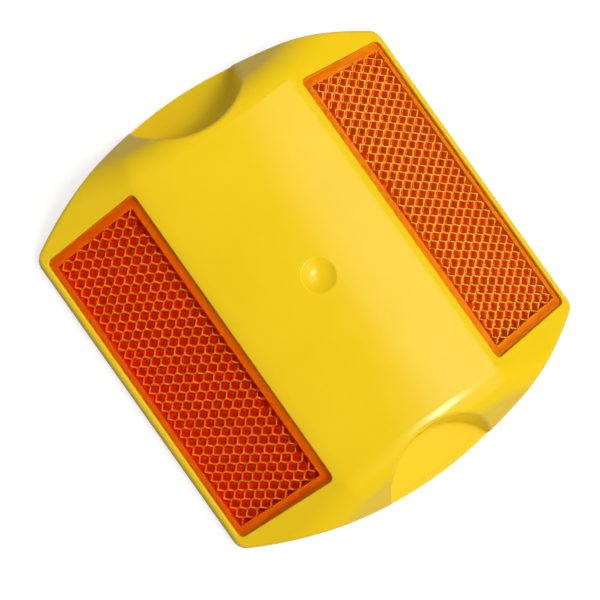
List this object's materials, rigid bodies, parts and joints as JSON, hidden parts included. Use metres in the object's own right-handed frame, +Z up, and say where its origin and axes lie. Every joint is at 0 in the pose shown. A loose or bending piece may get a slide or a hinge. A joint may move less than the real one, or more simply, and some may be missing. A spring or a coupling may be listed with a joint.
{
  "type": "raised road stud",
  "caption": "Raised road stud with a glossy yellow domed body, finger scoops in its bowed ends and an amber corner-cube reflector on each sloped face, resin-filled, with a gritted base.",
  "frame": {"origin": "middle of the underside, on the road", "axes": "+X across the stud from the front lens to the rear lens, +Y along the stud towards one bowed end, +Z up from the road"},
  "size_m": [0.092, 0.102, 0.019],
  "materials": {
    "shell": "glossy yellow moulded ABS",
    "lens": "polished transparent amber acrylic",
    "sealant": "honey-coloured flexible sealant",
    "backing": "plain orange sheet plastic",
    "resin": "cast resin filled with sand",
    "grit": "rough silica grit set in resin"
  },
  "bodies": {
    "root": {"shell": "shell", "front_lens": "lens", "rear_lens": "lens", "front_lens_seal": "sealant", "rear_lens_seal": "sealant", "front_lens_backing": "backing", "rear_lens_backing": "backing", "potting_fill": "resin", "base_grit": "grit"}
  },
  "joints": []
}
